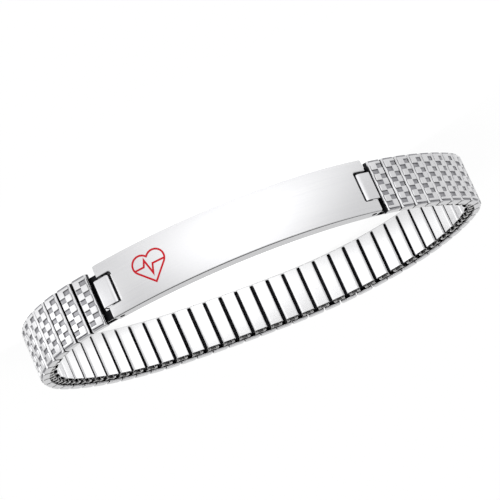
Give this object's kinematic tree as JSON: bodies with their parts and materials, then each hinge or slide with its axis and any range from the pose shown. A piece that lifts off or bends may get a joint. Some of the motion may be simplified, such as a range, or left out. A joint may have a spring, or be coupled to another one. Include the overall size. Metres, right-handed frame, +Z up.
{
  "type": "medical alert bracelet",
  "caption": "Medical alert bracelet: a curved steel identity plate with an enamel heart emblem, hinged at both ends to a closed expansion band of linked shells.",
  "frame": {"origin": "middle of the outer box, on the surface that the bracelet lies on", "axes": "+X along the identity plate towards its emblem end, +Y from the plate towards the back of the band, +Z up along the wrist's axis"},
  "size_m": [0.0814, 0.0576, 0.0095],
  "materials": {
    "plate_steel": "fine brushed, nearly polished",
    "red_enamel": "glossy enamel",
    "pin_steel": "satin",
    "tongue_steel": "polished",
    "shell_steel": "polished with pressed relief",
    "sleeve_steel": "polished",
    "link_steel": "satin"
  },
  "bodies": {
    "root": {"id_plate": "plate_steel", "emblem_enamel": "red_enamel", "pin_left": "pin_steel", "pin_right": "pin_steel", "end_link_left": "tongue_steel", "end_link_right": "tongue_steel", "outer_shells": "shell_steel", "inner_sleeves": "sleeve_steel", "connector_links": "link_steel"}
  },
  "joints": []
}
